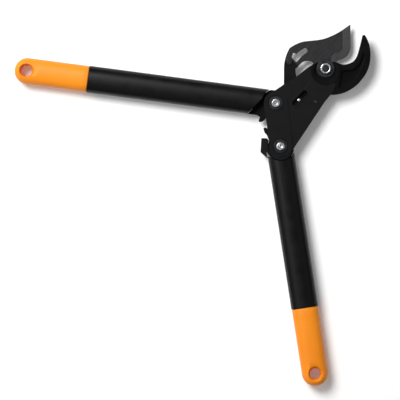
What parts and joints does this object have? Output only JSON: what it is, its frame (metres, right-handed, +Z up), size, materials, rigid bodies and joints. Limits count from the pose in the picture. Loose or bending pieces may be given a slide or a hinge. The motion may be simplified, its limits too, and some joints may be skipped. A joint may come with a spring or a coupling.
{
  "type": "geared bypass lopper",
  "caption": "Two-handed geared bypass lopper: curved blade and hooked jaw between side plates, with oval handles geared together to close the blade.",
  "frame": {"origin": "on the main pivot's axis, at the flat back face of the pivot bolt's head, on which the tool lies", "axes": "+Z up through the pivots towards the front face, +Y along the tool's middle line from the main pivot to the jaws, +X to the hook's side"},
  "size_m": [0.4424, 0.2889, 0.022],
  "materials": {
    "hook_paint": "satin black paint over forged steel, edges slightly polished",
    "plate_plastic": "fine-grained black glass-filled nylon",
    "plate_paint": "satin black paint over steel plate",
    "gear_paint": "black phosphate finish on steel gear parts",
    "blade_steel": "dark grey low-friction coating on hardened steel",
    "bright_steel": "bright nickel plate",
    "dark_steel": "dark zinc plate with light turning marks",
    "tube_coat": "semi-gloss black plastic sleeve",
    "plug_plastic": "matte black moulded plastic",
    "grip_plastic": "semi-gloss orange moulded plastic with soft grain",
    "bumper_rubber": "matte black rubber"
  },
  "bodies": {
    "head": {"hook": "hook_paint", "front_side_plate": "plate_plastic", "rear_side_plate": "plate_paint", "pivot_bolt": "dark_steel", "pivot_washer": "dark_steel", "pivot_nut": "bright_steel", "handle_a_barrel_nut": "dark_steel", "handle_a_thrust_washer": "dark_steel", "handle_a_head_washer": "dark_steel", "handle_a_screw": "bright_steel", "handle_b_barrel_nut": "dark_steel", "handle_b_thrust_washer": "dark_steel", "handle_b_head_washer": "dark_steel", "handle_b_screw": "bright_steel", "tail_screw": "dark_steel", "tail_spacer": "dark_steel", "tail_rivet": "dark_steel", "slot_pin": "bright_steel", "spacer_screw": "dark_steel", "spacer_post": "dark_steel"},
    "blade_unit": {"blade": "blade_steel", "gear_arm": "gear_paint", "arm_rivet": "dark_steel", "arm_dowel": "dark_steel"},
    "handle_a": {"handle_a_tang": "gear_paint", "handle_a_tang_plug": "plug_plastic", "handle_a_tube": "tube_coat", "handle_a_grip": "grip_plastic"},
    "handle_b": {"handle_b_tang": "gear_paint", "handle_b_tang_plug": "plug_plastic", "handle_b_tube": "tube_coat", "handle_b_grip": "grip_plastic", "bumper": "bumper_rubber", "bumper_rivet": "dark_steel"}
  },
  "joints": [
    {"name": "handle_a_swing", "type": "hinge", "parent": "head", "child": "handle_a", "pos_m": [-0.01153, -0.05934, 0.011], "axis": [0, 0, 1], "range_deg": [-20, 51]},
    {"name": "handle_b_swing", "type": "hinge", "parent": "head", "child": "handle_b", "pos_m": [0.022, -0.08689, 0.011], "axis": [0, 0, 1], "range_deg": [-51, 20]},
    {"name": "blade_swing", "type": "hinge", "parent": "head", "child": "blade_unit", "pos_m": [0, 0, 0.009], "axis": [0, 0, 1], "range_deg": [-28.56, 11.2]}
  ],
  "couplings": [
    {"joint": "handle_b_swing", "follows": "handle_a_swing", "ratio": -1},
    {"joint": "blade_swing", "follows": "handle_a_swing", "ratio": -0.56}
  ]
}
